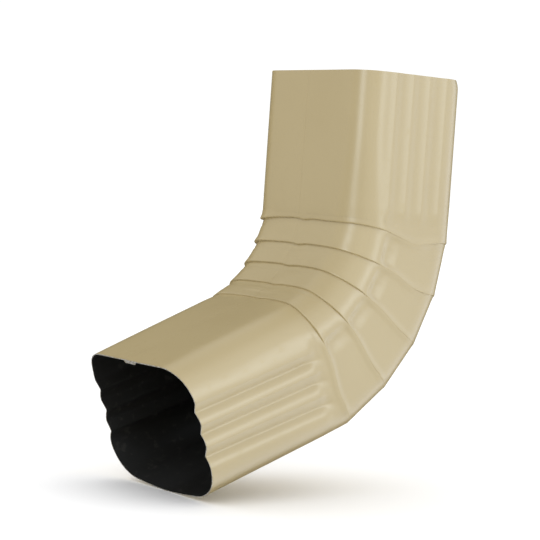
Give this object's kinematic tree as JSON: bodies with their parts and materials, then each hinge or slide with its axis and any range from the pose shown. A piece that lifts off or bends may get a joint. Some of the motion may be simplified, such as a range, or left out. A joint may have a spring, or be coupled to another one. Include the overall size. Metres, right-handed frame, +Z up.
{
  "type": "downspout elbow",
  "caption": "Rectangular sheet-metal downspout elbow turned forward by a row of crimps, with long grooves in its narrow sides and both ends cut plain.",
  "frame": {"origin": "middle of the inlet rim, at the top of the upper leg", "axes": "+Z up out of the inlet, -Y to the front, the side the elbow turns to, +Y to the wall behind it, X across the wide faces"},
  "size_m": [0.0826, 0.1577, 0.2005],
  "materials": {
    "painted_sheet": "cream satin enamel outside, black inside"
  },
  "bodies": {
    "root": {"elbow": "painted_sheet"}
  },
  "joints": []
}
